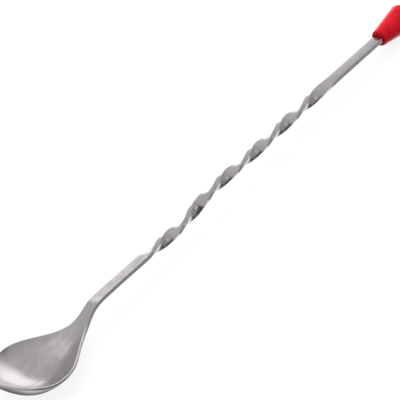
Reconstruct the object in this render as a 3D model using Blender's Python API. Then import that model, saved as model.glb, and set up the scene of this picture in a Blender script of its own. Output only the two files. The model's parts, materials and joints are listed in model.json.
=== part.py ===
# Bar spoon: a one-piece stainless spoon with a twisted flat handle, and a
# moulded plastic knob pushed over the plain end of the handle.
#
# The spoon is described in its own working frame, in millimetres:
#   x runs along the handle, from the tip of the bowl (0) to the end of the knob
#   y runs across the bowl
#   z is the way the bowl opens
# REST_TILT, REST_X and REST_Y then lay it on the floor plane z = 0, on the
# underside of the bowl and on the lower edge of the knob, centred in x and y.
# The finished objects are in metres, +Z up.

import math

import bmesh
import bpy
import numpy as np
from mathutils import Matrix, Vector

MM = 0.001

# ---- driving dimensions, millimetres and degrees ---------------------------
OVERALL_LENGTH = 281.0      # 11 inch pattern, bowl tip to knob end
TIP_OVERHANG = 0.95         # the rounded rim stands this far before x = 0
HANDLE_END = OVERALL_LENGTH - TIP_OVERHANG

BOWL_LENGTH = 54.6          # tip to the end of the flare
BOWL_WIDTH = 31.7           # between the inner edges of the rim
BOWL_WIDEST = 0.413         # share of the bowl's length from the tip
WIDEST_X = BOWL_WIDEST * BOWL_LENGTH
BOWL_NOSE_POWER = 2.37      # 2 would make the nose a half ellipse
FLARE_SHOULDER = 1.437      # how long the bowl stays wide toward the neck
FLARE_SWEEP = 1.815         # how softly the flare runs into the neck
BOWL_DEPTH = 8.0            # rim to the inside of the bottom
BOWL_WALL = 1.10
BOWL_RIM_ROUND = 0.42
BOWL_ROLL = 6.3             # the bowl leans this much about the handle

STRIP_WIDTH = 4.55          # flat bar that makes the handle
STRIP_THICK = 1.80
STRIP_CORNER = 0.20
NECK_HALF_WIDTH = STRIP_WIDTH / 2 - STRIP_CORNER

# stretches of x where the bowl's values give way to the bar's
WALL_FROM, WALL_TO = 36.0, 62.0
ROUND_FROM, ROUND_TO = 40.0, 60.0
ROLL_FROM, ROLL_TO = 44.0, 70.0

# side view of the rim and the top of the neck: (x, height)
RIM_LINE = (
    (0.0, 2.5), (14.0, -2.25), (28.0, -1.76), (42.0, -3.7), (50.5, -3.15),
    (58.5, 0.22), (66.0, 0.98), (74.0, 0.95), (92.0, 0.62),
)
# side view of the handle's middle, with the slight set left by twisting: (x, height)
SET_LINE = (
    (92.0, -0.28), (104.0, -0.87), (122.0, -0.90), (136.0, 1.24),
    (148.0, 1.68), (163.0, 1.30), (196.0, 1.31), (230.0, 1.18),
)
SET_END = SET_LINE[-1][0]
UPPER_SLOPE = -0.70         # fall of the plain upper end, degrees

# the plain lower shank is dead straight between the last two rim points
(SHANK_FROM, SHANK_FROM_HEIGHT), (SHANK_TO, SHANK_TO_HEIGHT) = RIM_LINE[-2:]
SHANK_SLOPE = (SHANK_TO_HEIGHT - SHANK_FROM_HEIGHT) / (SHANK_TO - SHANK_FROM)

TWIST_START = 92.6
TWIST_EASE_IN = 4.0
TWIST_EASE_OUT = 23.0
TWIST_TURNS = 2.993
TWIST_LEAD = 41.84          # length of one full turn
TWIST_LENGTH = TWIST_TURNS * TWIST_LEAD + (TWIST_EASE_IN + TWIST_EASE_OUT) / 2

KNOB_LENGTH = 18.5
KNOB_MOUTH_X = HANDLE_END - KNOB_LENGTH
KNOB_SMALL_RADIUS = 3.35
KNOB_LARGE_RADIUS = 5.95
KNOB_SMALL_EDGE = 0.55      # rounding at the handle end, across the axis
KNOB_SMALL_REACH = 1.05     # and along it
KNOB_LARGE_EDGE = 0.70      # rounding at the free end
SOCKET_DEPTH = 15.6
SOCKET_GAP = 0.25           # clearance round the tang
SOCKET_OVERCUT = 1.0        # the cutter stands this far out of the mouth
TANG_LENGTH = 14.6
TANG_POINT = 1.2            # lead-in taper at the tang's end
TANG_TIP_INSET = 0.35       # taken off each side at the tang's end

REST_TILT = 1.332           # handle falls toward the knob when laid down
REST_X = -139.63
REST_Y = -0.274

# ---- mesh resolution --------------------------------------------------------
HALF_ROW = 8                # points from the middle of the bowl to its rim
FULL_ROW = 2 * HALF_ROW + 1
NOSE_STEPS = 30             # steps round the nose, rim to rim
FLARE_STEP = 2.0            # spacing of the sections through the flare
TWIST_STEP_DEG = 10.0
CORNER_STEPS = 2
KNOB_SEGMENTS = 48
KNOB_EDGE_STEPS = 3
SHANK_LEAD_IN = 1.6         # first bar section, after the start of the shank
SHANK_LEAD_OUT = 0.4        # second bar section, before its end
SHARP_ANGLE = 35.0

# sampling offsets for slopes and normals
SURFACE_SAMPLE = 0.02       # along x and y
SET_SAMPLE = 0.05           # along x
RIM_SAMPLE = 0.002          # round the nose, radians
JUST_INSIDE = 0.9999        # rim normals are taken a hair inside the rim


def cubic_through(knots):
    """Natural cubic curve through (x, y) knots, as a function of x."""
    xs, ys = np.array(knots, float).T
    count = len(xs)
    span = np.diff(xs)
    system = np.zeros((count, count))
    target = np.zeros(count)
    system[0, 0] = system[-1, -1] = 1.0
    for i in range(1, count - 1):
        system[i, i - 1] = span[i - 1]
        system[i, i] = 2.0 * (span[i - 1] + span[i])
        system[i, i + 1] = span[i]
        target[i] = 6.0 * ((ys[i + 1] - ys[i]) / span[i] - (ys[i] - ys[i - 1]) / span[i - 1])
    bend = np.linalg.solve(system, target)      # second derivative at each knot

    def curve(x):
        i = int(np.clip(np.searchsorted(xs, x) - 1, 0, count - 2))
        after, before = xs[i + 1] - x, x - xs[i]
        width = span[i]
        return (bend[i] * after ** 3 / (6 * width) + bend[i + 1] * before ** 3 / (6 * width)
                + (ys[i] / width - bend[i] * width / 6) * after
                + (ys[i + 1] / width - bend[i + 1] * width / 6) * before)

    return curve


rim_height = cubic_through(RIM_LINE[:-1])
set_height = cubic_through(SET_LINE)


def ease(x, start, end):
    """0 up to start, 1 from end on, with a smooth rise between."""
    share = min(1.0, max(0.0, (x - start) / (end - start)))
    return share * share * (3.0 - 2.0 * share)


# ---- surfaces of the bowl and the neck --------------------------------------
def flare_half_width(x):
    """Half width between the rim's inner edges, from the widest section on."""
    share = (x / BOWL_LENGTH - BOWL_WIDEST) / (1.0 - BOWL_WIDEST)
    share = min(1.0, max(0.0, share))
    swell = (1.0 - share ** FLARE_SHOULDER) ** FLARE_SWEEP
    return NECK_HALF_WIDTH + (BOWL_WIDTH / 2 - NECK_HALF_WIDTH) * swell


def fullness(x, y):
    """1 over the middle of the bowl, falling to 0 at its rim."""
    if x <= WIDEST_X:
        along = ((WIDEST_X - x) / WIDEST_X) ** BOWL_NOSE_POWER
        return 1.0 - along - (y / (BOWL_WIDTH / 2)) ** 2
    half = flare_half_width(x)
    share = (half - NECK_HALF_WIDTH) / (BOWL_WIDTH / 2 - NECK_HALF_WIDTH)
    return share * (1.0 - (y / half) ** 2)


def line_height(x):
    """Height of the rim, and of the shank's top face."""
    if x >= SHANK_FROM:
        rise = SHANK_TO_HEIGHT - SHANK_FROM_HEIGHT
        return SHANK_FROM_HEIGHT + rise * (x - SHANK_FROM) / (SHANK_TO - SHANK_FROM)
    return rim_height(x)


def top_height(x, y):
    return line_height(x) - BOWL_DEPTH * fullness(x, y)


def top_point(x, y):
    return Vector((x, y, top_height(x, y)))


def top_normal(x, y):
    e = SURFACE_SAMPLE
    slope_x = (top_height(x + e, y) - top_height(x - e, y)) / (2 * e)
    slope_y = (top_height(x, y + e) - top_height(x, y - e)) / (2 * e)
    return Vector((-slope_x, -slope_y, 1.0)).normalized()


def wall(x):
    return BOWL_WALL + (STRIP_THICK - BOWL_WALL) * ease(x, WALL_FROM, WALL_TO)


def edge_round(x):
    return BOWL_RIM_ROUND + (STRIP_CORNER - BOWL_RIM_ROUND) * ease(x, ROUND_FROM, ROUND_TO)


def edge_points(rim, normal, outward):
    """Points round the edge at a rim point, between the top and bottom faces.

    outward is first laid onto the surface.
    """
    outward = (outward - normal * outward.dot(normal)).normalized()
    thick, radius = wall(rim.x), edge_round(rim.x)
    angles = [math.pi / 2 * k / CORNER_STEPS for k in range(1, CORNER_STEPS + 1)]
    upper = [rim + outward * (radius * math.sin(angle))
             - normal * (radius * (1 - math.cos(angle))) for angle in angles]
    lower = [rim + outward * (radius * math.sin(angle))
             - normal * (thick - radius * (1 - math.cos(angle))) for angle in reversed(angles)]
    return upper + lower


def flare_section(x):
    """Closed ring at x: top row, +y edge, bottom row, -y edge."""
    half = flare_half_width(x)
    points, normals = [], []
    for k in range(-HALF_ROW, HALF_ROW + 1):
        y = half * math.sin(math.pi / 2 * k / HALF_ROW)
        points.append(top_point(x, y))
        normals.append(top_normal(x, y * JUST_INSIDE))
    bottom = [p - n * wall(x) for p, n in zip(points, normals)]
    plus_edge = edge_points(points[-1], normals[-1], points[-1] - points[-2])
    minus_edge = edge_points(points[0], normals[0], points[0] - points[1])
    return points + plus_edge + bottom[::-1] + minus_edge[::-1]


def nose_point(angle, reach):
    """Plan position in the nose; reach runs from 0 in the middle to 1 at the rim."""
    x = WIDEST_X - WIDEST_X * (reach * math.cos(angle)) ** (2.0 / BOWL_NOSE_POWER)
    y = BOWL_WIDTH / 2 * reach * math.sin(angle)
    return x, y


def lean(point):
    """Turns a point of the bowl about the handle; the turn fades out along the neck."""
    angle = math.radians(BOWL_ROLL) * (1.0 - ease(point.x, ROLL_FROM, ROLL_TO))
    return Vector((point.x,
                   point.y * math.cos(angle) - point.z * math.sin(angle),
                   point.y * math.sin(angle) + point.z * math.cos(angle)))


# ---- the flat bar -----------------------------------------------------------
def bar_middle(x):
    """Height and slope of the bar's middle, in side view."""
    if x <= SHANK_TO:
        return line_height(x) - STRIP_THICK / 2, SHANK_SLOPE
    if x >= SET_END:
        slope = math.tan(math.radians(UPPER_SLOPE))
        return set_height(SET_END) + slope * (x - SET_END), slope
    rise = set_height(x + SET_SAMPLE) - set_height(x - SET_SAMPLE)
    return set_height(x), rise / (2 * SET_SAMPLE)


def twist_angle(x):
    """Turn of the bar at x, in radians; the twist is left-handed."""
    along = min(max(x - TWIST_START, 0.0), TWIST_LENGTH)
    left = TWIST_LENGTH - along
    if along < TWIST_EASE_IN:
        turned = along * along / (2 * TWIST_EASE_IN)
    elif along <= TWIST_LENGTH - TWIST_EASE_OUT:
        turned = along - TWIST_EASE_IN / 2
    else:
        turned = TWIST_TURNS * TWIST_LEAD - left * left / (2 * TWIST_EASE_OUT)
    return -2 * math.pi * turned / TWIST_LEAD


def rounded_rectangle(half_width, half_thick, radius):
    """(across, up) points, clockwise from the left end of the upper left corner."""
    points = []
    for side, level, start in ((-1, 1, 180), (1, 1, 90), (1, -1, 0), (-1, -1, -90)):
        for k in range(CORNER_STEPS + 1):
            angle = math.radians(start - 90.0 * k / CORNER_STEPS)
            points.append((side * (half_width - radius) + radius * math.cos(angle),
                           level * (half_thick - radius) + radius * math.sin(angle)))
    return points


def bar_section(x, inset=0.0):
    """Closed ring across the bar at x, drawn in by inset on every side."""
    z, slope = bar_middle(x)
    middle = Vector((x, 0.0, z))
    tangent = Vector((1.0, 0.0, slope)).normalized()
    level = Vector((0.0, 1.0, 0.0))
    up = tangent.cross(level).normalized()
    angle = twist_angle(x)
    width_axis = level * math.cos(angle) + up * math.sin(angle)
    thick_axis = up * math.cos(angle) - level * math.sin(angle)
    outline = rounded_rectangle(STRIP_WIDTH / 2 - inset, STRIP_THICK / 2 - inset, STRIP_CORNER)
    ring = [middle + width_axis * across + thick_axis * rise for across, rise in outline]
    # start the ring on the top face at its -y side, as flare_section does
    return ring[CORNER_STEPS:] + ring[:CORNER_STEPS]


def bar_stations():
    """Places of the bar's sections, from the shank to the start of the tang's taper."""
    twist_steps = int(round(TWIST_LENGTH / (TWIST_LEAD * TWIST_STEP_DEG / 360.0)))
    stations = [SHANK_FROM + SHANK_LEAD_IN, SHANK_TO - SHANK_LEAD_OUT]
    stations += [TWIST_START + TWIST_LENGTH * k / twist_steps for k in range(twist_steps + 1)]
    stations += [SET_END, (SET_END + KNOB_MOUTH_X) / 2, KNOB_MOUTH_X,
                 KNOB_MOUTH_X + TANG_LENGTH - TANG_POINT]
    # the set line ends just before the twist does
    return sorted(stations)


# ---- mesh helpers -----------------------------------------------------------
def add_ring(bm, points):
    return [bm.verts.new(p * MM) for p in points]


def skin(bm, ring_a, ring_b):
    """Quads between two rings of equal count."""
    count = len(ring_a)
    for i in range(count):
        j = (i + 1) % count
        bm.faces.new((ring_a[i], ring_a[j], ring_b[j], ring_b[i]))


def skin_all(bm, rings):
    for ring_a, ring_b in zip(rings, rings[1:]):
        skin(bm, ring_a, ring_b)


def arc_shares(ring):
    """Position of each vertex round its ring, as a share of the ring's length, then 1."""
    count = len(ring)
    lengths = [(ring[(i + 1) % count].co - ring[i].co).length for i in range(count)]
    total = sum(lengths)
    shares, run = [], 0.0
    for length in lengths:
        shares.append(run / total)
        run += length
    return shares + [1.0]


def bridge(bm, ring_a, ring_b):
    """Triangles between two rings that have different numbers of points."""
    shares_a, shares_b = arc_shares(ring_a), arc_shares(ring_b)
    count_a, count_b = len(ring_a), len(ring_b)
    i = j = 0
    while i < count_a or j < count_b:
        next_a = shares_a[i + 1] if i < count_a else math.inf
        next_b = shares_b[j + 1] if j < count_b else math.inf
        vert_a, vert_b = ring_a[i % count_a], ring_b[j % count_b]
        if next_a <= next_b:
            bm.faces.new((vert_a, ring_a[(i + 1) % count_a], vert_b))
            i += 1
        else:
            bm.faces.new((vert_a, ring_b[(j + 1) % count_b], vert_b))
            j += 1


# ---- the spoon --------------------------------------------------------------
def add_flare(bm):
    """Flare and neck; returns the widest ring and the ring at the shank."""
    count = int(round((SHANK_FROM - WIDEST_X) / FLARE_STEP))
    stations = [WIDEST_X + (SHANK_FROM - WIDEST_X) * k / count for k in range(count + 1)]
    rings = [add_ring(bm, flare_section(x)) for x in stations]
    skin_all(bm, rings)
    return rings[0], rings[-1]


def add_nose_spoke(bm, angle, top_middle, bottom_middle):
    """Line of vertices: out over the top to the rim, round it, back underneath."""
    ups, downs = [top_middle], [bottom_middle]
    for k in range(1, HALF_ROW + 1):
        x, y = nose_point(angle, math.sin(math.pi / 2 * k / HALF_ROW))
        point = top_point(x, y)
        normal = top_normal(WIDEST_X + (x - WIDEST_X) * JUST_INSIDE, y * JUST_INSIDE)
        ups.append(bm.verts.new(point * MM))
        downs.append(bm.verts.new((point - normal * wall(point.x)) * MM))
    # outward along the rim's own normal in plan; point and normal are the rim's here
    x_ahead, y_ahead = nose_point(angle + RIM_SAMPLE, 1.0)
    x_behind, y_behind = nose_point(angle - RIM_SAMPLE, 1.0)
    outward = Vector((y_behind - y_ahead, x_ahead - x_behind, 0.0))
    return ups + add_ring(bm, edge_points(point, normal, outward)) + downs[::-1]


def add_nose(bm, widest):
    """Nose of the bowl, as a fan round the middle of the widest section."""
    edge = 2 * CORNER_STEPS
    top = widest[:FULL_ROW]
    plus_edge = widest[FULL_ROW:FULL_ROW + edge]
    bottom = widest[FULL_ROW + edge:2 * FULL_ROW + edge][::-1]
    minus_edge = widest[2 * FULL_ROW + edge:][::-1]

    spokes = [top[HALF_ROW:] + plus_edge + bottom[HALF_ROW:][::-1]]
    for k in range(1, NOSE_STEPS):
        angle = math.pi / 2 - math.pi * k / NOSE_STEPS
        spokes.append(add_nose_spoke(bm, angle, top[HALF_ROW], bottom[HALF_ROW]))
    spokes.append(top[HALF_ROW::-1] + minus_edge + bottom[:HALF_ROW + 1])

    for spoke_a, spoke_b in zip(spokes, spokes[1:]):
        for k in range(len(spoke_a) - 1):
            corners = (spoke_a[k], spoke_a[k + 1], spoke_b[k + 1], spoke_b[k])
            # the spokes share their end vertices, which leaves triangles there
            bm.faces.new(list(dict.fromkeys(corners)))


def add_bar(bm, neck):
    """Plain shank, twisted length, plain end and tang, joined to the neck's last ring."""
    rings = [add_ring(bm, bar_section(x)) for x in bar_stations()]
    rings.append(add_ring(bm, bar_section(KNOB_MOUTH_X + TANG_LENGTH, TANG_TIP_INSET)))
    bridge(bm, neck, rings[0])
    skin_all(bm, rings)
    bm.faces.new(rings[-1][::-1])


def spoon_mesh():
    bm = bmesh.new()
    widest, neck = add_flare(bm)
    add_nose(bm, widest)
    add_bar(bm, neck)
    for v in bm.verts:
        if v.co.x < ROLL_TO * MM:
            v.co = lean(v.co / MM) * MM
    bmesh.ops.recalc_face_normals(bm, faces=bm.faces)
    return bm


# ---- the knob: x runs from its mouth along its axis ---------------------------
def knob_frame():
    """Matrix from the knob's frame to the working frame, in metres."""
    z, slope = bar_middle(KNOB_MOUTH_X)
    axis = Vector((1.0, 0.0, slope)).normalized()
    # the socket follows the flat of the tang, which stops a little short of level
    angle = twist_angle(HANDLE_END)
    level = Vector((0.0, 1.0, 0.0))
    side = level * math.cos(angle) + axis.cross(level) * math.sin(angle)
    turn = Matrix((axis, side, axis.cross(side))).transposed().to_4x4()
    return Matrix.Translation(Vector((KNOB_MOUTH_X, 0.0, z)) * MM) @ turn


def knob_profile():
    """(distance from the mouth, radius) up the outside, on the axis at both ends."""
    taper = (KNOB_LARGE_RADIUS - KNOB_SMALL_RADIUS) / KNOB_LENGTH
    small_radius = KNOB_SMALL_RADIUS + taper * KNOB_SMALL_REACH
    large_start = KNOB_LENGTH - KNOB_LARGE_EDGE
    large_radius = KNOB_SMALL_RADIUS + taper * large_start
    points = [(0.0, 0.0)]
    for k in range(KNOB_EDGE_STEPS + 1):
        angle = math.pi / 2 * k / KNOB_EDGE_STEPS
        points.append((KNOB_SMALL_REACH * (1 - math.cos(angle)),
                       small_radius - KNOB_SMALL_EDGE * (1 - math.sin(angle))))
    # the free end's rounding has one step more
    for k in range(KNOB_EDGE_STEPS + 2):
        angle = math.pi / 2 * k / (KNOB_EDGE_STEPS + 1)
        points.append((large_start + KNOB_LARGE_EDGE * math.sin(angle),
                       large_radius - KNOB_LARGE_EDGE * (1 - math.cos(angle))))
    points.append((KNOB_LENGTH, 0.0))
    return points


def knob_mesh():
    bm = bmesh.new()
    profile = [bm.verts.new((along * MM, 0.0, radius * MM)) for along, radius in knob_profile()]
    edges = [bm.edges.new(pair) for pair in zip(profile, profile[1:])]
    bmesh.ops.spin(bm, geom=profile + edges, cent=(0, 0, 0), axis=(1, 0, 0),
                   angle=2 * math.pi, steps=KNOB_SEGMENTS, use_merge=True)
    bmesh.ops.remove_doubles(bm, verts=bm.verts, dist=1e-6)
    # the free end and the mouth are each one flat face
    for end in (0.0, KNOB_LENGTH * MM):
        fan = [f for f in bm.faces if all(abs(v.co.x - end) < 1e-7 for v in f.verts)]
        bmesh.ops.dissolve_faces(bm, faces=fan)
    bmesh.ops.recalc_face_normals(bm, faces=bm.faces)
    return bm


def socket_mesh():
    bm = bmesh.new()
    outline = rounded_rectangle(STRIP_WIDTH / 2 + SOCKET_GAP, STRIP_THICK / 2 + SOCKET_GAP,
                                STRIP_CORNER + SOCKET_GAP / 2)
    outer, inner = [add_ring(bm, [Vector((x, y, z)) for y, z in outline])
                    for x in (-SOCKET_OVERCUT, SOCKET_DEPTH)]
    skin(bm, outer, inner)
    bm.faces.new(outer)
    bm.faces.new(inner[::-1])
    bmesh.ops.recalc_face_normals(bm, faces=bm.faces)
    return bm


# ---- scene objects ----------------------------------------------------------
def make_object(name, bm, material=None):
    mesh = bpy.data.meshes.new(name)
    bm.to_mesh(mesh)
    bm.free()
    obj = bpy.data.objects.new(name, mesh)
    bpy.context.scene.collection.objects.link(obj)
    if material is not None:
        mesh.materials.append(material)
    mesh.shade_smooth()
    mesh.set_sharp_from_angle(angle=math.radians(SHARP_ANGLE))
    return obj


def make_material(name, colour, roughness, metallic):
    material = bpy.data.materials.new(name)
    material.use_nodes = True
    inputs = material.node_tree.nodes["Principled BSDF"].inputs
    inputs["Base Color"].default_value = (*colour, 1.0)
    inputs["Roughness"].default_value = roughness
    inputs["Metallic"].default_value = metallic
    return material


def rest_matrix():
    """Working frame to the floor frame, in metres, before the lift onto the floor."""
    turn = Matrix.Rotation(math.radians(REST_TILT), 4, "Y")
    return Matrix.Translation(Vector((REST_X, REST_Y, 0.0)) * MM) @ turn


def build_spoon(place, material):
    """Builds the spoon standing on z = 0; returns the lift that put it there."""
    bm = spoon_mesh()
    bmesh.ops.transform(bm, matrix=place, verts=bm.verts)
    lift = Vector((0, 0, -min(v.co.z for v in bm.verts)))
    bmesh.ops.translate(bm, vec=lift, verts=bm.verts)
    make_object("spoon", bm, material)
    return lift


def build_knob(place, material):
    """Knob with its socket cut by a hidden helper."""
    knob = make_object("knob", knob_mesh(), material)
    knob.matrix_world = place

    cutter = make_object("socket_cutter", socket_mesh())
    cutter.matrix_world = place
    cutter.hide_render = True
    cutter.display_type = "WIRE"

    cut = knob.modifiers.new("socket", "BOOLEAN")
    cut.operation = "DIFFERENCE"
    cut.solver = "EXACT"
    cut.object = cutter


def main():
    for obj in list(bpy.data.objects):
        bpy.data.objects.remove(obj)

    steel = make_material("stainless_steel", colour=(0.62, 0.60, 0.62),
                          roughness=0.18, metallic=1.0)
    red = make_material("red_plastic", colour=(0.62, 0.010, 0.028),
                        roughness=0.30, metallic=0.0)

    place = rest_matrix()
    lift = build_spoon(place, steel)
    build_knob(Matrix.Translation(lift) @ place @ knob_frame(), red)
    bpy.context.view_layer.update()


main()
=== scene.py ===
"""A long steel spoon with a twisted flat handle and a red conical knob on its end.

The shape is worked out in millimetres in a working frame: x runs along the handle
from the bowl's tip, y across it, z the way the bowl opens. `place` takes that frame
to the CAD, where the middle of the knob's free end meets the mount "knob_end".
"""

import json
import math

import bmesh
import bpy
import numpy as np
from mathutils import Matrix, Vector


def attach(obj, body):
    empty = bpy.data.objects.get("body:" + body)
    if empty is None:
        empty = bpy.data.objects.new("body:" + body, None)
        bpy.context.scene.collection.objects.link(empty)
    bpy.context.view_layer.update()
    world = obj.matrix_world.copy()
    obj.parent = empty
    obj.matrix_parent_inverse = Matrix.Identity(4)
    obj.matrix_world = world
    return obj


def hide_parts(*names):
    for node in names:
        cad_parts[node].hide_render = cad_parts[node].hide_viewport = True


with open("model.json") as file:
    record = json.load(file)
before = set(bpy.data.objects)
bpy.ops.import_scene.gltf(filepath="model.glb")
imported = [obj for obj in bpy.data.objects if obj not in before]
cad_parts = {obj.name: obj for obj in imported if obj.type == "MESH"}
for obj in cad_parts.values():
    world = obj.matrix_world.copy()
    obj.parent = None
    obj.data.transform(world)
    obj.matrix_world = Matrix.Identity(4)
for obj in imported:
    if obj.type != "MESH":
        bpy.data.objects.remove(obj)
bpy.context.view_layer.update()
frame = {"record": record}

MM = 0.001

# =============================================================================
# Dimensions, in mm and degrees
# =============================================================================
OVERALL_LENGTH = 281.0
TIP_OVERHANG = 0.95
HANDLE_END = OVERALL_LENGTH - TIP_OVERHANG

BOWL_LENGTH = 54.6
BOWL_WIDTH = 31.7
BOWL_WIDEST = 0.413         # share of the bowl's length
WIDEST_X = BOWL_WIDEST * BOWL_LENGTH
NOSE_POWER = 2.37
FLARE_SHOULDER = 1.437
FLARE_SWEEP = 1.815
BOWL_DEPTH = 8.0
BOWL_WALL = 1.10
BOWL_RIM_ROUND = 0.36
BOWL_ROLL = 6.3             # lean of the bowl about x
ROLL_FADE = (44.0, 70.0)    # x where the lean starts to fade, and where it is gone

STRIP_WIDTH = 4.55
STRIP_THICK = 1.80
STRIP_CORNER = 0.22
NECK = STRIP_WIDTH / 2 - STRIP_CORNER
WALL_BLEND = (36.0, 62.0)   # x where the bowl's wall grows to the strip's thickness
ROUND_BLEND = (40.0, 60.0)  # x where the rim's rounding shrinks to the strip's corner

# (x, z) of the rim and of the top face behind it; the last two are joined straight
RIM_LINE = ((0.0, 2.5), (14.0, -2.25), (28.0, -1.76), (42.0, -3.7),
            (50.5, -3.15), (58.5, 0.22), (66.0, 0.98), (74.0, 0.95), (92.0, 0.62))
STRAIGHT_FROM = RIM_LINE[-2][0]
STRAIGHT_TO = RIM_LINE[-1][0]
# (x, z) of the middle of the strip along the handle
SET_LINE = ((92.0, -0.28), (104.0, -0.87), (122.0, -0.90), (136.0, 1.24),
            (148.0, 1.68), (163.0, 1.30), (196.0, 1.31), (230.0, 1.18))
UPPER_SLOPE = -0.70         # of the handle beyond the last of them

TWIST_START = 92.6
TWIST_EASE_IN = 4.0
TWIST_EASE_OUT = 23.0
TWIST_TURNS = 2.993
TWIST_LEAD = 41.84
TWIST_LENGTH = TWIST_TURNS * TWIST_LEAD + (TWIST_EASE_IN + TWIST_EASE_OUT) / 2
TWIST_END = TWIST_START + TWIST_LENGTH

KNOB_LENGTH = 18.5
KNOB_START = HANDLE_END - KNOB_LENGTH
KNOB_SMALL_RADIUS = 3.35
KNOB_LARGE_RADIUS = 5.95
KNOB_SMALL_EDGE = 0.62      # rounding at the mouth, across the axis
KNOB_SMALL_REACH = 1.10     # and along it
KNOB_LARGE_EDGE = 0.85
MOUTH_INSET = 0.08
SOCKET_DEPTH = 15.6
SOCKET_GAP = 0.12
TANG_LENGTH = 14.6
TANG_POINT = 1.2
TANG_SHRINK = 0.35          # drawn in on every side at the tang's end
RIDGE_HEIGHT = 0.035        # of the parting lines
RIDGE_SPREAD = 0.7          # degrees

REST_TILT = 1.332

# resolution of the surfaces
HALF_ROW = 30
NOSE_STEPS = 128
FLARE_STEP = 0.45
TWIST_STEP_DEG = 3.0
BAR_STEP = 1.5
RIM_STEPS = 6
CORNER_STEPS = 5
SLOPE_STEP = 0.05           # half the span over which slopes are taken
NEAR_TIP = 0.06             # slopes are taken no nearer the tip than this
OUTLINE_STEP = 0.05
SOFTEN = 2.6                # blends the bowl's front and back halves


# =============================================================================
# Curves of the bowl and the handle
# =============================================================================
def natural_spline(knots):
    xs = np.array([knot[0] for knot in knots], float)
    ys = np.array([knot[1] for knot in knots], float)
    count = len(xs)
    gap = np.diff(xs)
    system = np.zeros((count, count))
    target = np.zeros(count)
    system[0, 0] = system[-1, -1] = 1.0
    for i in range(1, count - 1):
        system[i, i - 1] = gap[i - 1]
        system[i, i] = 2.0 * (gap[i - 1] + gap[i])
        system[i, i + 1] = gap[i]
        target[i] = 6.0 * ((ys[i + 1] - ys[i]) / gap[i] - (ys[i] - ys[i - 1]) / gap[i - 1])
    bend = np.linalg.solve(system, target)

    def height(x):
        i = int(np.clip(np.searchsorted(xs, x) - 1, 0, count - 2))
        before, after = xs[i + 1] - x, x - xs[i]
        return (bend[i] * before ** 3 / (6 * gap[i]) + bend[i + 1] * after ** 3 / (6 * gap[i])
                + (ys[i] / gap[i] - bend[i] * gap[i] / 6) * before
                + (ys[i + 1] / gap[i] - bend[i + 1] * gap[i] / 6) * after)

    return height


rim_height = natural_spline(RIM_LINE[:-1])
set_height = natural_spline(SET_LINE)


def ease(share):
    share = min(1.0, max(0.0, share))
    return share * share * (3.0 - 2.0 * share)


def ease_between(x, start, end):
    return ease((x - start) / (end - start))


def raw_outline(x):
    """(half width squared, share of the full depth) at x, odd about the tip."""
    if x < 0:
        width_squared, depth = raw_outline(-x)
        return -width_squared, -depth
    along = x / BOWL_LENGTH
    widest = BOWL_WIDTH / 2
    if along <= BOWL_WIDEST:
        depth = 1.0 - abs((BOWL_WIDEST - along) / BOWL_WIDEST) ** NOSE_POWER
        return widest * widest * depth, depth
    behind = min(1.0, (along - BOWL_WIDEST) / (1.0 - BOWL_WIDEST))
    depth = max(0.0, 1.0 - behind ** FLARE_SHOULDER) ** FLARE_SWEEP
    return (NECK + (widest - NECK) * depth) ** 2, depth


def soft_outline():
    """The raw outline softened along x, so that the two halves of the bowl meet
    without a jump in curvature, then scaled back to its full width and depth."""
    xs = np.arange(-24.0, 100.0 + OUTLINE_STEP / 2, OUTLINE_STEP)
    raw = np.array([raw_outline(x) for x in xs])
    reach = int(4 * SOFTEN / OUTLINE_STEP)
    offsets = np.arange(-reach, reach + 1) * OUTLINE_STEP
    kernel = np.exp(-0.5 * (offsets / SOFTEN) ** 2)
    kernel /= kernel.sum()
    width_squared, depth = [
        np.convolve(np.pad(raw[:, k], reach, mode="edge"), kernel, mode="valid")
        for k in range(2)]
    width_squared *= (BOWL_WIDTH / 2) ** 2 / width_squared.max()
    depth /= depth.max()
    return xs, width_squared, depth


OUTLINE_X, OUTLINE_WIDTH_SQUARED, OUTLINE_DEPTH = soft_outline()


def half_width(x):
    return math.sqrt(max(0.0, float(np.interp(x, OUTLINE_X, OUTLINE_WIDTH_SQUARED))))


def depth_share(x):
    return max(0.0, float(np.interp(x, OUTLINE_X, OUTLINE_DEPTH)))


def line_height(x):
    if x >= STRAIGHT_FROM:
        (x0, z0), (x1, z1) = RIM_LINE[-2:]
        return z0 + (z1 - z0) * (x - x0) / (x1 - x0)
    return rim_height(x)


def top_height(x, y):
    half = max(half_width(x), 1e-3)
    return line_height(x) - BOWL_DEPTH * depth_share(x) * (1.0 - (y / half) ** 2)


def top_normal(x, y):
    step = SLOPE_STEP
    x = max(x, NEAR_TIP)
    slope_x = (top_height(x + step, y) - top_height(x - step, y)) / (2 * step)
    slope_y = (top_height(x, y + step) - top_height(x, y - step)) / (2 * step)
    return Vector((-slope_x, -slope_y, 1.0)).normalized()


def top_point(x, y):
    """Point of the top face and its normal."""
    return Vector((x, y, top_height(x, y))), top_normal(x, y)


def wall(x):
    return BOWL_WALL + (STRIP_THICK - BOWL_WALL) * ease_between(x, *WALL_BLEND)


def edge_round(x):
    return BOWL_RIM_ROUND + (STRIP_CORNER - BOWL_RIM_ROUND) * ease_between(x, *ROUND_BLEND)


def bar_middle(x):
    """Height of the strip's middle at x, and its slope."""
    if x <= STRAIGHT_TO:
        (x0, z0), (x1, z1) = RIM_LINE[-2:]
        return line_height(x) - STRIP_THICK / 2, (z1 - z0) / (x1 - x0)
    end_x = SET_LINE[-1][0]
    if x >= end_x:
        slope = math.tan(math.radians(UPPER_SLOPE))
        return set_height(end_x) + slope * (x - end_x), slope
    rise = set_height(x + SLOPE_STEP) - set_height(x - SLOPE_STEP)
    return set_height(x), rise / (2 * SLOPE_STEP)


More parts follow.
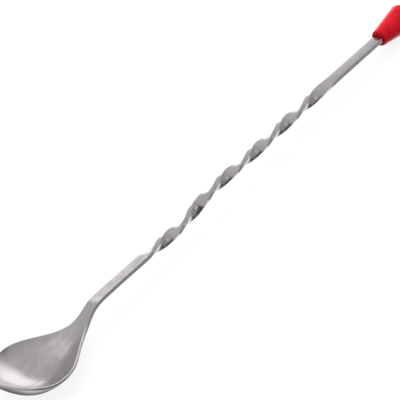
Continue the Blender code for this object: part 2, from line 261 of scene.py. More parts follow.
def twist_angle(x):
    """Turn of the strip at x; the rate eases in and out at the twist's ends."""
    run = min(max(x - TWIST_START, 0.0), TWIST_LENGTH)
    if run < TWIST_EASE_IN:
        turned = run * run / (2 * TWIST_EASE_IN)
    elif run <= TWIST_LENGTH - TWIST_EASE_OUT:
        turned = run - TWIST_EASE_IN / 2
    else:
        turned = TWIST_TURNS * TWIST_LEAD - (TWIST_LENGTH - run) ** 2 / (2 * TWIST_EASE_OUT)
    return -2 * math.pi * turned / TWIST_LEAD


# =============================================================================
# Sections and skins
# =============================================================================
def laid_on(outward, normal):
    return (outward - normal * outward.dot(normal)).normalized()


def edge_points(start, normal, outward, x):
    """Round the edge from the top face to the bottom face, both left out."""
    thick, radius = wall(x), edge_round(x)
    angles = [math.pi / 2 * k / RIM_STEPS for k in range(1, RIM_STEPS + 1)]
    upper = [start + outward * (radius * math.sin(a)) - normal * (radius * (1 - math.cos(a)))
             for a in angles]
    lower = [start + outward * (radius * math.sin(a))
             - normal * (thick - radius * (1 - math.cos(a)))
             for a in reversed(angles)]
    return upper + lower


def rim_out(x, sign, normal):
    """Outward across the rim at (x, sign * half width), laid onto the surface."""
    x = max(x, NEAR_TIP)
    slope = (half_width(x + SLOPE_STEP) - half_width(x - SLOPE_STEP)) / (2 * SLOPE_STEP)
    return laid_on(Vector((-slope, sign, 0.0)), normal)


def flare_section(x):
    """Ring over the top from -y to +y, then back underneath."""
    half = half_width(x)
    row = [top_point(x, half * math.sin(math.pi / 2 * k / HALF_ROW))
           for k in range(-HALF_ROW, HALF_ROW + 1)]
    ring = [point for point, normal in row]
    point, normal = row[-1]
    ring += edge_points(point, normal, rim_out(x, 1.0, normal), x)
    ring += [point - normal * wall(x) for point, normal in reversed(row)]
    point, normal = row[0]
    ring += reversed(edge_points(point, normal, rim_out(x, -1.0, normal), x))
    return ring


def bar_section(x, shrink=0.0):
    """Ring round the strip, from the -y side of its untwisted top face."""
    z, slope = bar_middle(x)
    tangent = Vector((1.0, 0.0, slope)).normalized()
    across = Vector((0.0, 1.0, 0.0))
    up = tangent.cross(across).normalized()
    angle = twist_angle(x)
    wide_axis = across * math.cos(angle) + up * math.sin(angle)
    thin_axis = up * math.cos(angle) - across * math.sin(angle)
    wide, thin = STRIP_WIDTH / 2 - shrink, STRIP_THICK / 2 - shrink
    radius = STRIP_CORNER
    middle = Vector((x, 0.0, z))
    ring = []
    # corner (wide, thin), its first angle, and the face that follows it
    for corner_w, corner_t, start, face_w, face_t in ((-1, 1, 180, 0, 1), (1, 1, 90, 1, 0),
                                                      (1, -1, 0, 0, -1), (-1, -1, -90, -1, 0)):
        for k in range(CORNER_STEPS + 1):
            turn = math.radians(start - 90.0 * k / CORNER_STEPS)
            ring.append(middle
                        + wide_axis * (corner_w * (wide - radius) + radius * math.cos(turn))
                        + thin_axis * (corner_t * (thin - radius) + radius * math.sin(turn)))
        # one more point in the middle of each face
        ring.append(middle + wide_axis * (face_w * wide) + thin_axis * (face_t * thin))
    return ring[CORNER_STEPS:] + ring[:CORNER_STEPS]


def add_ring(draft, points):
    return [draft.verts.new(point * MM) for point in points]


def skin(draft, first, second):
    count = len(first)
    for i in range(count):
        after = (i + 1) % count
        draft.faces.new((first[i], first[after], second[after], second[i]))


def skin_all(draft, rings):
    for first, second in zip(rings, rings[1:]):
        skin(draft, first, second)


def arc_share(ring):
    """Share of the way round at which each vertex lies, with 1.0 for the return."""
    count = len(ring)
    lengths = [(ring[(i + 1) % count].co - ring[i].co).length for i in range(count)]
    total = sum(lengths)
    shares, run = [], 0.0
    for length in lengths:
        shares.append(run / total)
        run += length
    return shares + [1.0]


def bridge(draft, first, second):
    """Triangles between two rings with different numbers of vertices."""
    past_end = 9.0
    share_1, share_2 = arc_share(first), arc_share(second)
    i = j = 0
    while i < len(first) or j < len(second):
        next_1 = share_1[i + 1] if i < len(first) else past_end
        next_2 = share_2[j + 1] if j < len(second) else past_end
        vert_1, vert_2 = first[i % len(first)], second[j % len(second)]
        if next_1 <= next_2:
            draft.faces.new((vert_1, first[(i + 1) % len(first)], vert_2))
            i += 1
        else:
            draft.faces.new((vert_1, second[(j + 1) % len(second)], vert_2))
            j += 1


# =============================================================================
# The spoon: flare behind the widest place, nose before it, then the handle
# =============================================================================
def add_flare(draft):
    count = int(round((STRAIGHT_FROM - WIDEST_X) / FLARE_STEP))
    xs = [WIDEST_X + (STRAIGHT_FROM - WIDEST_X) * k / count for k in range(count + 1)]
    rings = [add_ring(draft, flare_section(x)) for x in xs]
    skin_all(draft, rings)
    return rings


def nose_rim(angle):
    """(x, y) of the rim; the angle is 0 at the tip and a quarter turn at the widest."""
    x = WIDEST_X * (1.0 - math.cos(angle))
    return x, (1.0 if angle >= 0 else -1.0) * half_width(x)


def nose_out(angle, point, normal):
    """Outward across the nose's rim, from neighbouring rim points."""
    if nose_rim(angle)[0] < 0.02:
        return laid_on(Vector((-1.0, 0.0, 0.0)), normal)
    step = 0.01
    along = Vector((*nose_rim(angle + step), 0.0)) - Vector((*nose_rim(angle - step), 0.0))
    outward = Vector((-along.y, along.x, 0.0))
    if outward.dot(Vector((point.x - WIDEST_X, point.y, 0.0))) < 0:
        outward = -outward
    return laid_on(outward, normal)


def nose_spoke(draft, angle, top_middle, bottom_middle):
    """Vertices from the top middle out over the rim and back to the bottom middle."""
    x_rim, y_rim = nose_rim(angle)
    above, below = [top_middle], [bottom_middle]
    for k in range(1, HALF_ROW + 1):
        share = math.sin(math.pi / 2 * k / HALF_ROW)
        point, normal = top_point(WIDEST_X + (x_rim - WIDEST_X) * share, y_rim * share)
        above.append(draft.verts.new(point * MM))
        below.append(draft.verts.new((point - normal * wall(point.x)) * MM))
    outward = nose_out(angle, point, normal)
    edge = add_ring(draft, edge_points(point, normal, outward, point.x))
    return above + edge + below[::-1]


def add_nose(draft, ring):
    """A fan of spokes from the +y half of the widest ring round to its -y half."""
    top = HALF_ROW
    bottom = 3 * HALF_ROW + 1 + 2 * RIM_STEPS
    spokes = [ring[top:bottom + 1]]
    for k in range(1, NOSE_STEPS):
        angle = math.pi / 2 - math.pi * k / NOSE_STEPS
        spokes.append(nose_spoke(draft, angle, ring[top], ring[bottom]))
    spokes.append(ring[top::-1] + ring[:bottom - 1:-1])
    for first, second in zip(spokes, spokes[1:]):
        for k in range(len(first) - 1):
            face = []
            for vert in (first[k], first[k + 1], second[k + 1], second[k]):
                if vert not in face:
                    face.append(vert)
            draft.faces.new(face)


def add_handle(draft, flare_end):
    """The strip, its twist and the pointed tang inside the knob."""
    twist_steps = int(round(TWIST_LENGTH / (TWIST_LEAD * TWIST_STEP_DEG / 360.0)))
    tang_end = KNOB_START + TANG_LENGTH
    stations = list(np.arange(STRAIGHT_FROM + 0.6, TWIST_START - 0.4, BAR_STEP)) + [TWIST_START]
    stations += [TWIST_START + TWIST_LENGTH * k / twist_steps for k in range(1, twist_steps + 1)]
    stations += list(np.arange(TWIST_END + BAR_STEP, tang_end - TANG_POINT - 0.5, BAR_STEP))
    stations.append(tang_end - TANG_POINT)
    rings = [add_ring(draft, bar_section(float(x))) for x in stations]
    rings.append(add_ring(draft, bar_section(tang_end, TANG_SHRINK)))
    bridge(draft, flare_end, rings[0])
    skin_all(draft, rings)
    draft.faces.new(rings[-1][::-1])


def lean(point):
    """Rolls the bowl about x, fading out towards the handle."""
    angle = math.radians(BOWL_ROLL) * (1.0 - ease_between(point.x, *ROLL_FADE))
    return Vector((point.x, point.y * math.cos(angle) - point.z * math.sin(angle),
                   point.y * math.sin(angle) + point.z * math.cos(angle)))


def spoon_draft():
    draft = bmesh.new()
    rings = add_flare(draft)
    add_nose(draft, rings[0])
    add_handle(draft, rings[-1])
    for vert in draft.verts:
        if vert.co.x < ROLL_FADE[1] * MM:
            vert.co = lean(vert.co / MM) * MM
    bmesh.ops.recalc_face_normals(draft, faces=draft.faces)
    return draft


# =============================================================================
# The knob: a lathe shape with a blind flat socket, a faint parting line down
# two sides and a small gate mark in the middle of its free end.
# =============================================================================
# degrees round each parting line; the wider steps start SEAM_MARGIN away
SEAM_ANGLES = (-1.6, -0.9, -0.45, 0.0, 0.45, 0.9, 1.6)
SEAM_MARGIN = 4.0
SIDE_STEPS = 43
EDGE_STEPS = 10
CONE_STEPS = 14
SOCKET_CORNER_STEPS = 12

# (distance from the mouth, growth of the section), from the floor to the mouth
SOCKET_RINGS = ((SOCKET_DEPTH, 0.0), (SOCKET_DEPTH - 0.4, 0.0), (11.0, 0.0), (7.0, 0.0),
                (3.0, 0.0), (0.6, 0.0), (0.22, 0.0), (0.08, 0.05), (0.0, 0.16))

# (depth below the free end, radius): the flat, then the sunk gate mark
END_FLAT = KNOB_LARGE_RADIUS - KNOB_LARGE_EDGE
END_RINGS = ((0.0, END_FLAT * 0.72), (0.0, END_FLAT * 0.45), (0.0, 1.30), (0.02, 1.16),
             (0.12, 1.02), (0.15, 0.80), (0.15, 0.62), (0.10, 0.50), (0.02, 0.40), (0.01, 0.20))


def knob_angles():
    """Angles round the knob, closer together at the two parting lines."""
    side_span = 180.0 - 2 * SEAM_MARGIN
    angles = []
    for seam in (0.0, math.pi):
        angles += [seam + math.radians(a) for a in SEAM_ANGLES]
        angles += [seam + math.radians(SEAM_MARGIN + side_span * k / SIDE_STEPS)
                   for k in range(SIDE_STEPS + 1)]
    return sorted(a % (2 * math.pi) for a in angles)


def parting_ridge(angle):
    off = min(abs(angle % math.pi), math.pi - abs(angle % math.pi))
    return RIDGE_HEIGHT * math.exp(-(math.degrees(off) / RIDGE_SPREAD) ** 2)


def knob_profile():
    """(distance from the mouth, radius, share of the parting ridge)."""
    taper = (KNOB_LARGE_RADIUS - KNOB_SMALL_RADIUS) / KNOB_LENGTH
    reach = KNOB_SMALL_REACH
    mouth_radius = KNOB_SMALL_RADIUS + taper * reach
    profile = [(0.0, mouth_radius - KNOB_SMALL_EDGE - MOUTH_INSET, 0.0)]
    for k in range(EDGE_STEPS + 1):
        turn = math.pi / 2 * k / EDGE_STEPS
        profile.append((reach * (1 - math.cos(turn)),
                        mouth_radius - KNOB_SMALL_EDGE * (1 - math.sin(turn)),
                        ease(k / EDGE_STEPS * 1.4 - 0.4)))
    cone_end = KNOB_LENGTH - KNOB_LARGE_EDGE
    for k in range(1, CONE_STEPS):
        distance = reach + (cone_end - reach) * k / CONE_STEPS
        profile.append((distance, KNOB_SMALL_RADIUS + taper * distance, 1.0))
    for k in range(EDGE_STEPS + 1):
        turn = math.pi / 2 * k / EDGE_STEPS
        profile.append((cone_end + KNOB_LARGE_EDGE * math.sin(turn),
                        KNOB_SMALL_RADIUS + taper * cone_end
                        - KNOB_LARGE_EDGE * (1 - math.cos(turn)),
                        ease(1.0 - k / EDGE_STEPS * 1.3)))
    return profile


def socket_ring(distance, grow, angles):
    """Rounded rectangle round the tang, one point for each angle of the knob."""
    wide = STRIP_WIDTH / 2 + SOCKET_GAP + grow
    thin = STRIP_THICK / 2 + SOCKET_GAP + grow
    radius = STRIP_CORNER + SOCKET_GAP / 2 + grow
    # the path starts and ends on the middle of the +y side
    path = [(wide, 0.0)]
    for side_y, side_z, start in ((1, 1, 0), (-1, 1, 90), (-1, -1, 180), (1, -1, 270)):
        for k in range(SOCKET_CORNER_STEPS + 1):
            turn = math.radians(start + 90.0 * k / SOCKET_CORNER_STEPS)
            path.append((side_y * (wide - radius) + radius * math.cos(turn),
                         side_z * (thin - radius) + radius * math.sin(turn)))
    path = np.array(path + [(wide, 0.0)])
    run = np.concatenate([[0.0], np.cumsum(np.hypot(*np.diff(path, axis=0).T))])
    ring = []
    for angle in angles:
        at = angle / (2 * math.pi) * run[-1]
        ring.append(Vector((distance, float(np.interp(at, run, path[:, 0])),
                            float(np.interp(at, run, path[:, 1])))))
    return ring


def lathe_ring(distance, radius, ridge_share, angles):
    radii = [radius + ridge_share * parting_ridge(a) for a in angles]
    return [Vector((distance, r * math.cos(a), r * math.sin(a))) for r, a in zip(radii, angles)]


def knob_draft():
    """The knob with its mouth at the origin and its axis along x."""
    draft = bmesh.new()
    angles = knob_angles()
    profile = knob_profile() + [(KNOB_LENGTH - sunk, radius, 0.0) for sunk, radius in END_RINGS]
    rings = [add_ring(draft, socket_ring(distance, grow, angles))
             for distance, grow in SOCKET_RINGS]
    rings += [add_ring(draft, lathe_ring(*station, angles)) for station in profile]
    skin_all(draft, rings)
    draft.faces.new(rings[0])
    draft.faces.new(rings[-1][::-1])
    bmesh.ops.recalc_face_normals(draft, faces=draft.faces)
    return draft


# =============================================================================
# Placing the pieces on the CAD
# =============================================================================
def mesh_object(name, draft):
    mesh = bpy.data.meshes.new(name)
    draft.to_mesh(mesh)
    draft.free()
    obj = bpy.data.objects.new(name, mesh)
    bpy.context.scene.collection.objects.link(obj)
    return obj


def finish_piece(name, draft, matrix, sharp_angle):
    bmesh.ops.transform(draft, matrix=matrix, verts=draft.verts)
    obj = mesh_object(name, draft)
    obj.data.shade_smooth()
    obj.data.set_sharp_from_angle(angle=math.radians(sharp_angle))
    return obj


def add_lay(mesh, matrix):
    """Stores, in mm, the place along the handle and in the section, so that the
    polishing lines follow the steel through the bowl and the twist."""
    back = matrix.inverted()
    values = []
    for vert in mesh.vertices:
        point = back @ vert.co / MM
        if point.x < STRAIGHT_TO:
            values.append((point.x, point.y, point.z))
            continue
        height = point.z - bar_middle(point.x)[0]
        angle = twist_angle(point.x)
        values.append((point.x, point.y * math.cos(angle) + height * math.sin(angle),
                       -point.y * math.sin(angle) + height * math.cos(angle)))
    lay = mesh.attributes.new("lay", "FLOAT_VECTOR", "POINT")
    lay.data.foreach_set("vector", np.array(values, np.float32).ravel())


def knob_turn(axis):
    """Axes of the knob, with its socket turned as the end of the twist."""
    roll = twist_angle(HANDLE_END)
    level = Vector((0.0, 1.0, 0.0))
    side = level * math.cos(roll) + axis.cross(level) * math.sin(roll)
    return Matrix((axis, side, axis.cross(side))).transposed().to_4x4()


mounts = {mount["name"]: mount for mount in frame["record"]["mounts"]}
mouth_z, knob_slope = bar_middle(KNOB_START)
mouth = Vector((KNOB_START, 0.0, mouth_z))
knob_axis = Vector((1.0, 0.0, knob_slope)).normalized()
rest_turn = Matrix.Rotation(math.radians(REST_TILT), 4, "Y")
end_face = rest_turn @ ((mouth + knob_axis * KNOB_LENGTH) * MM)
place = Matrix.Translation(Vector(mounts["knob_end"]["pos_m"]) - end_face) @ rest_turn

spoon = finish_piece("spoon_steel", spoon_draft(), place, sharp_angle=50)
add_lay(spoon.data, place)
knob_place = place @ Matrix.Translation(mouth * MM) @ knob_turn(knob_axis)
knob = finish_piece("knob_red", knob_draft(), knob_place, sharp_angle=40)


# =============================================================================
# Camera, in the working frame
# =============================================================================
CAMERA_SIDEWAYS = 0.66      # share of the viewing direction that lies along -x
CAMERA_LIFT = 0.89          # radians, turned from +z towards -y
CAMERA_ROLL = 0.7432        # radians
CAMERA_DISTANCE = 1800.0
CAMERA_TARGET = Vector((140.0, 0.0, 0.0))
AIM_RIGHT = -4.461538       # from the target to the point aimed at
AIM_UP = -2.165385
LENS = 421.2
SENSOR_WIDTH = 36.0


def make_camera():
    rest = math.sqrt(1.0 - CAMERA_SIDEWAYS ** 2)
    sin_lift, cos_lift = math.sin(CAMERA_LIFT), math.cos(CAMERA_LIFT)
    back = Vector((-CAMERA_SIDEWAYS, -rest * sin_lift, rest * cos_lift))
    level = Vector((rest, -CAMERA_SIDEWAYS * sin_lift, CAMERA_SIDEWAYS * cos_lift))
    steep = Vector((0.0, cos_lift, sin_lift))
    right = level * math.cos(CAMERA_ROLL) - steep * math.sin(CAMERA_ROLL)
    up = level * math.sin(CAMERA_ROLL) + steep * math.cos(CAMERA_ROLL)
    where = CAMERA_TARGET + back * CAMERA_DISTANCE
    # turn the camera a little, from the target to the aim
    aim = CAMERA_TARGET + right * AIM_RIGHT + up * AIM_UP
    back = (where - aim).normalized()
    right = (right - back * right.dot(back)).normalized()
    up = back.cross(right)
    turn = place.to_3x3()
    matrix = Matrix((turn @ right, turn @ up, turn @ back)).transposed().to_4x4()
    matrix.translation = place @ (where * MM)
    data = bpy.data.cameras.new("camera")
    data.sensor_width = SENSOR_WIDTH
    data.lens = LENS
    data.clip_start = 0.01
    data.clip_end = 50.0
    camera = bpy.data.objects.new("camera", data)
    camera.matrix_world = matrix
    bpy.context.scene.collection.objects.link(camera)
    bpy.context.scene.camera = camera


make_camera()


# =============================================================================
# Materials
# =============================================================================
WHITE = (1.0, 1.0, 1.0, 1.0)


class Nodes:
    """Short helpers for building a node tree."""

    def __init__(self, owner, output):
        owner.use_nodes = True
        self.tree = owner.node_tree
        self.tree.nodes.clear()
        self.out = self.add(output)

    def add(self, kind, **settings):
        node = self.tree.nodes.new(kind)
        for key, value in settings.items():
            setattr(node, key, value)
        return node

    def put(self, socket, value):
        if isinstance(value, bpy.types.NodeSocket):
            self.tree.links.new(value, socket)
        else:
            socket.default_value = value

    def fill(self, node, values):
        for key, value in values.items():
            self.put(node.inputs[key], value)

    def surface(self, shader):
        self.put(self.out.inputs["Surface"], shader)

    def math(self, operation, first, second=None):
        node = self.add("ShaderNodeMath", operation=operation)
        self.put(node.inputs[0], first)
        if second is not None:
            self.put(node.inputs[1], second)
        return node.outputs[0]

    def plus(self, first, second):
        return self.math("ADD", first, second)

    def multiply(self, value, by):
        return self.math("MULTIPLY", value, by)

    def span(self, value, low, high, to_low=0.0, to_high=1.0, kind="SMOOTHSTEP"):
        node = self.add("ShaderNodeMapRange", interpolation_type=kind)
        self.fill(node, {"Value": value, "From Min": low, "From Max": high,
                         "To Min": to_low, "To Max": to_high})
        return node.outputs["Result"]

    def mix(self, factor, at_zero, at_one):
        node = self.add("ShaderNodeMix", data_type="RGBA")
        self.fill(node, {0: factor, 6: at_zero, 7: at_one})
        return node.outputs[2]

    def noise(self, vector, scale=1.0, detail=3.0, roughness=0.5, stretch=None):
        if stretch is not None:
            mapping = self.add("ShaderNodeMapping")
            self.fill(mapping, {"Vector": vector, "Scale": stretch})
            vector = mapping.outputs["Vector"]
        node = self.add("ShaderNodeTexNoise")
        self.fill(node, {"Vector": vector, "Scale": scale, "Detail": detail,
                         "Roughness": roughness})
        return node.outputs["Fac"]

    def bump(self, height, strength, distance, normal=None):
        node = self.add("ShaderNodeBump")
        self.fill(node, {"Strength": strength, "Distance": distance, "Height": height})
        if normal is not None:
            self.put(node.inputs["Normal"], normal)
        return node.outputs["Normal"]

    def light(self, kind, color=WHITE, strength=1.0):
        """An emission or background shader."""
        node = self.add(kind)
        self.fill(node, {"Color": color, "Strength": strength})
        return node.outputs[0]

    def mix_shader(self, factor, at_zero, at_one):
        node = self.add("ShaderNodeMixShader")
        self.fill(node, {0: factor, 1: at_zero, 2: at_one})
        return node.outputs[0]

    def clear_from_behind(self, shader):
        clear = self.add("ShaderNodeBsdfTransparent").outputs[0]
        backfacing = self.add("ShaderNodeNewGeometry").outputs["Backfacing"]
        return self.mix_shader(backfacing, shader, clear)


def new_material(name):
    mat = bpy.data.materials.new(name)
    return mat, Nodes(mat, "ShaderNodeOutputMaterial")


def steel_material():
    """Polished stainless: fine polishing lines along the handle, a slow unevenness
    of the surface, faint smears and a few handling marks."""
    mat, n = new_material("stainless_steel_polished")
    body = n.add("ShaderNodeBsdfPrincipled")
    n.surface(body.outputs["BSDF"])
    lay = n.add("ShaderNodeAttribute", attribute_name="lay").outputs["Vector"]

    lines = n.noise(lay, stretch=(0.10, 9.0, 9.0), detail=4.0, roughness=0.62)
    hair = n.noise(lay, stretch=(0.35, 26.0, 26.0), detail=2.0)
    slow = n.noise(lay, stretch=(0.09, 0.16, 0.16), detail=2.0)
    smear = n.noise(lay, stretch=(0.22, 0.40, 0.40), detail=5.0, roughness=0.62)
    marks = n.noise(lay, stretch=(1.1, 3.4, 3.4), detail=3.0, roughness=0.7)
    nick = n.span(marks, low=0.66, high=0.74)

    tone = n.plus(n.multiply(lines, by=0.10), n.multiply(smear, by=0.22))
    tone = n.span(tone, low=0.10, high=0.24, kind="LINEAR")
    base = n.mix(tone, at_zero=(0.555, 0.530, 0.555, 1.0), at_one=(0.660, 0.638, 0.655, 1.0))
    base = n.mix(n.multiply(nick, by=0.25), at_zero=base, at_one=(0.46, 0.44, 0.45, 1.0))
    rough = n.plus(n.span(smear, low=0.30, high=0.72, to_low=0.155, to_high=0.235),
                   n.multiply(hair, by=0.05))
    rough = n.plus(rough, n.multiply(nick, by=0.08))
    normal = n.bump(slow, strength=0.18, distance=0.0005)
    normal = n.bump(lines, strength=0.12, distance=0.00006, normal=normal)
    normal = n.bump(hair, strength=0.10, distance=0.00002, normal=normal)
    normal = n.bump(nick, strength=0.10, distance=0.00003, normal=normal)
    n.fill(body, {"Base Color": base, "Metallic": 1.0, "Roughness": rough, "Normal": normal})
    return mat


def plastic_material():
    """Glossy moulded plastic: even red, a slight orange peel and small scuffs."""
    mat, n = new_material("red_plastic_glossy")
    body = n.add("ShaderNodeBsdfPrincipled")
    n.surface(body.outputs["BSDF"])
    where = n.add("ShaderNodeTexCoord").outputs["Object"]

    cloud = n.noise(where, scale=260.0)
    peel = n.noise(where, scale=2600.0, detail=2.0)
    scuff = n.noise(where, stretch=(700.0, 3200.0, 3200.0), detail=4.0, roughness=0.7)
    worn = n.span(scuff, low=0.60, high=0.72)

    base = n.mix(n.span(cloud, low=0.30, high=0.70),
                 at_zero=(0.610, 0.0015, 0.0110, 1.0), at_one=(0.700, 0.0030, 0.0170, 1.0))
    base = n.mix(n.multiply(worn, by=0.05), at_zero=base, at_one=(0.72, 0.04, 0.07, 1.0))
    rough = n.plus(n.span(cloud, low=0.3, high=0.7, to_low=0.22, to_high=0.29),
                   n.multiply(worn, by=0.08))
    normal = n.bump(peel, strength=0.10, distance=0.00006)
    normal = n.bump(worn, strength=0.06, distance=0.00002, normal=normal)
    n.fill(body, {
        "Base Color": base,
        "IOR": 1.46,
        "Specular IOR Level": 0.16,
        "Roughness": rough,
        "Subsurface Weight": 0.06,
        "Subsurface Radius": (0.0016, 0.0004, 0.0003),
        "Subsurface Scale": 1.0,
        "Normal": normal,
    })
    return mat


spoon.data.materials.append(steel_material())
knob.data.materials.append(plastic_material())


# =============================================================================
# Floor
# =============================================================================
FLOOR_RADII = (0.4, 1.2, 3.0, 7.0)      # metres
FLOOR_SIDES = 64
FLOOR_Z = -0.0001


def floor_material():
    """Pale paper that mostly glows by itself, so that shadows stay faint; seen from
    below it is clear, so that the underside of the spoon can be looked at."""
    mat, n = new_material("floor_pale")
    paper = n.add("ShaderNodeBsdfDiffuse")
    where = n.add("ShaderNodeTexCoord").outputs["Object"]
    grain = n.noise(where, scale=30.0)
    n.put(paper.inputs["Color"],
          n.mix(grain, at_zero=(0.88, 0.88, 0.88, 1.0), at_one=(0.90, 0.90, 0.90, 1.0)))
    glow = n.light("ShaderNodeEmission", strength=1.02)
    lit = n.mix_shader(factor=0.84, at_zero=paper.outputs[0], at_one=glow)
    n.surface(n.clear_from_behind(lit))
    return mat


def make_floor():
    draft = bmesh.new()
    middle = draft.verts.new((0.0, 0.0, 0.0))
    last = None
    for radius in FLOOR_RADII:
        ring = [draft.verts.new((radius * math.cos(2 * math.pi * k / FLOOR_SIDES),
                                 radius * math.sin(2 * math.pi * k / FLOOR_SIDES), 0.0))
                for k in range(FLOOR_SIDES)]
        for k in range(FLOOR_SIDES):
            after = (k + 1) % FLOOR_SIDES
            if last is None:
                draft.faces.new((middle, ring[k], ring[after]))
            else:
                draft.faces.new((last[k], ring[k], ring[after], last[after]))
        last = ring
    bmesh.ops.recalc_face_normals(draft, faces=draft.faces)
    floor = mesh_object("floor", draft)
    # an open sheet may come out facing down
    if floor.data.polygons[0].normal.z < 0:
        floor.data.flip_normals()
    floor.location.z = FLOOR_Z
    floor.data.materials.append(floor_material())
    floor.visible_glossy = False
    floor.visible_diffuse = False


make_floor()

# =============================================================================
# World: white to the camera, a soft ramp of light to matt surfaces, and a grey
# surround with light and dark windows to mirror reflections
# =============================================================================
# (azimuth from, to, elevation from, to, softness in azimuth, in elevation,
# brightness), angles in degrees; each window covers the ones before it
WINDOWS = (
    (30.0, 55.0, 4.0, 33.0, 4.0, 12.0, 0.97),
    (41.0, 55.0, -14.0, 18.0, 2.5, 5.0, 1.70),
    (-16.0, 41.0, -14.0, 13.0, 5.0, 4.0, 0.70),
    (-48.0, -38.0, -40.0, -2.0, 4.0, 5.0, 0.33),
    (-95.0, -60.0, -30.0, 36.0, 6.0, 6.0, 0.05),
    (-66.0, -32.0, -75.0, -38.0, 5.0, 4.0, 0.14),
    (-24.0, 30.0, -85.0, -42.0, 5.0, 4.0, 1.20),
    (42.0, 66.0, -53.0, -37.0, 4.0, 2.5, 0.12),
    (36.0, 84.0, -70.0, -57.5, 6.0, 2.5, 0.95),
    (-66.0, -46.0, -44.0, -31.0, 3.0, 3.0, 0.05),
    (-58.0, -47.0, 0.0, 17.0, 2.5, 4.0, 0.85),
    (-95.0, -57.0, 20.0, 36.0, 3.0, 3.0, 0.05),
    (-24.0, 40.0, 20.0, 60.0, 8.0, 8.0, 0.63),
)
GREEN_SHARE = 0.985         # of red and blue in the reflected surround
ROOM_DARK, ROOM_LIGHT = 0.46, 1.28
LIGHT_FROM = (0.50, 0.45, 0.74)


def make_world():
    world = bpy.data.worlds.new("tent")
    bpy.context.scene.world = world
    n = Nodes(world, "ShaderNodeOutputWorld")
    ray = n.add("ShaderNodeLightPath").outputs
    direction = n.add("ShaderNodeTexCoord").outputs["Generated"]
    split = n.add("ShaderNodeSeparateXYZ")
    n.put(split.inputs[0], direction)
    x, y, z = split.outputs
    to_degrees = 180 / math.pi
    elevation = n.multiply(n.math("ARCSINE", z), by=to_degrees)
    azimuth = n.multiply(n.math("ARCTAN2", y, x), by=to_degrees)

    def band(angle, start, end, soft):
        return n.multiply(n.span(angle, start - soft, start + soft),
                          by=n.span(angle, end - soft, end + soft, to_low=1.0, to_high=0.0))

    def window(az_from, az_to, el_from, el_to, az_soft, el_soft):
        return n.multiply(band(azimuth, az_from, az_to, az_soft),
                          by=band(elevation, el_from, el_to, el_soft))

    level = n.span(elevation, low=-20.0, high=80.0, to_low=0.46, to_high=0.58)
    for *edges, brightness in WINDOWS:
        outside = n.multiply(level, by=n.math("SUBTRACT", 1.0, window(*edges)))
        level = n.plus(outside, n.multiply(window(*edges), by=brightness))
    tone = n.add("ShaderNodeCombineColor")
    n.fill(tone, {0: level, 1: n.multiply(level, by=GREEN_SHARE), 2: level})
    mirrored = n.light("ShaderNodeBackground", color=tone.outputs[0])

    toward = n.add("ShaderNodeVectorMath", operation="DOT_PRODUCT")
    n.fill(toward, {0: direction, 1: Vector(LIGHT_FROM).normalized()})
    ramp = n.span(toward.outputs["Value"], low=-0.5, high=0.8,
                  to_low=ROOM_DARK, to_high=ROOM_LIGHT)
    matt = n.light("ShaderNodeBackground", strength=ramp)
    seen = n.light("ShaderNodeBackground")
    indirect = n.mix_shader(ray["Is Glossy Ray"], at_zero=matt, at_one=mirrored)
    n.surface(n.mix_shader(ray["Is Camera Ray"], at_zero=indirect, at_one=seen))


make_world()

# =============================================================================
# Cards and lamps
# =============================================================================
# White cards in one upright plane, mirrored in the near side of the bowl, with a
# softer strip along their upper edge. Each is (brightness, outline), the outline
# in mm along the plane and up.
CARD_AZIMUTH = -30.0        # degrees, of the plane's normal
CARD_OFFSET = -20.0         # of the plane along that normal
BOWL_CARDS = (
    (1.50, ((-53, 60), (-52, 98), (-46, 118), (-34, 138), (-14, 154), (6, 170), (24, 184),
            (44, 198), (66, 210), (94, 226), (124, 248), (180, 290), (240, 305), (200, 248),
            (175, 215), (150, 182), (136, 163), (122, 143), (108, 126), (97, 112), (85, 100),
            (70, 89), (55, 79), (40, 67), (30, 56), (20, 43), (16, 30), (10, 27), (0, 32),
            (-10, 38), (-25, 44), (-40, 54))),
    (1.50, ((128, 104), (140, 125), (160, 155), (185, 195), (215, 235), (260, 275), (330, 330),
            (600, 520), (600, 120), (300, 60), (200, 66), (140, 84))),
    (0.95, ((-53, 60), (-66, 68), (-67, 120), (-52, 148), (-34, 166), (-24, 158), (-34, 142),
            (-46, 118), (-52, 98))),
)


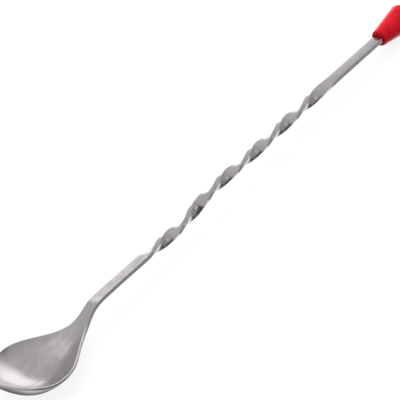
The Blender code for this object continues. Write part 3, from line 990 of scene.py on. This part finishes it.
def make_cards(name):
    """The cards shine against the plane's normal and are clear from behind; only
    mirror reflections see them."""
    azimuth = math.radians(CARD_AZIMUTH)
    away = Vector((math.cos(azimuth), math.sin(azimuth), 0.0))
    along = Vector((-away.y, away.x, 0.0))
    draft = bmesh.new()
    materials = []
    for number, (brightness, outline) in enumerate(BOWL_CARDS):
        face = draft.faces.new(add_ring(draft, [
            away * CARD_OFFSET + along * sideways + Vector((0.0, 0.0, height))
            for sideways, height in outline]))
        face.normal_update()
        if face.normal.dot(away) > 0:
            face.normal_flip()
        face.material_index = number
        mat, n = new_material("%s_%d" % (name, number))
        glow = n.light("ShaderNodeEmission", strength=brightness)
        n.surface(n.clear_from_behind(glow))
        materials.append(mat)
    bmesh.ops.triangulate(draft, faces=draft.faces)
    card = mesh_object(name, draft)
    for mat in materials:
        card.data.materials.append(mat)
    card.visible_camera = False
    card.visible_diffuse = False
    card.visible_shadow = False


def panel(name, centre, aim, width, height, power, diffuse=True, glossy=True):
    """A soft rectangular lamp, in metres and watts, hidden from the camera."""
    data = bpy.data.lights.new(name, "AREA")
    data.shape = "RECTANGLE"
    data.size, data.size_y = width, height
    data.energy = power
    data.spread = math.pi
    lamp = bpy.data.objects.new(name, data)
    lamp.location = centre
    lamp.rotation_mode = "QUATERNION"
    ahead = (Vector(aim) - Vector(centre)).normalized()
    lamp.rotation_quaternion = ahead.to_track_quat("-Z", "Y")
    bpy.context.scene.collection.objects.link(lamp)
    lamp.visible_camera = False
    lamp.visible_diffuse = diffuse
    lamp.visible_glossy = glossy


make_cards("bowl_card")
# draws the light edge of the knob
panel("knob_card", centre=(0.150, 0.070, 0.090), aim=(0.235, 0.030, 0.055),
      width=0.090, height=0.060, power=0.030, diffuse=False)
# the main lamp; its own reflection is kept out of the steel
panel("key_light", centre=(0.35, 0.85, 1.30), aim=(0.0, 0.0, 0.0),
      width=1.2, height=1.2, power=5.0, glossy=False)

scene = bpy.context.scene
scene.view_settings.view_transform = "Standard"
scene.view_settings.look = "None"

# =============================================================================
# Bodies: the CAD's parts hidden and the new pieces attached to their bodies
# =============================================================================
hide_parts("spoon")
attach(spoon, "spoon_body")
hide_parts("knob")
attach(knob, "knob_body")
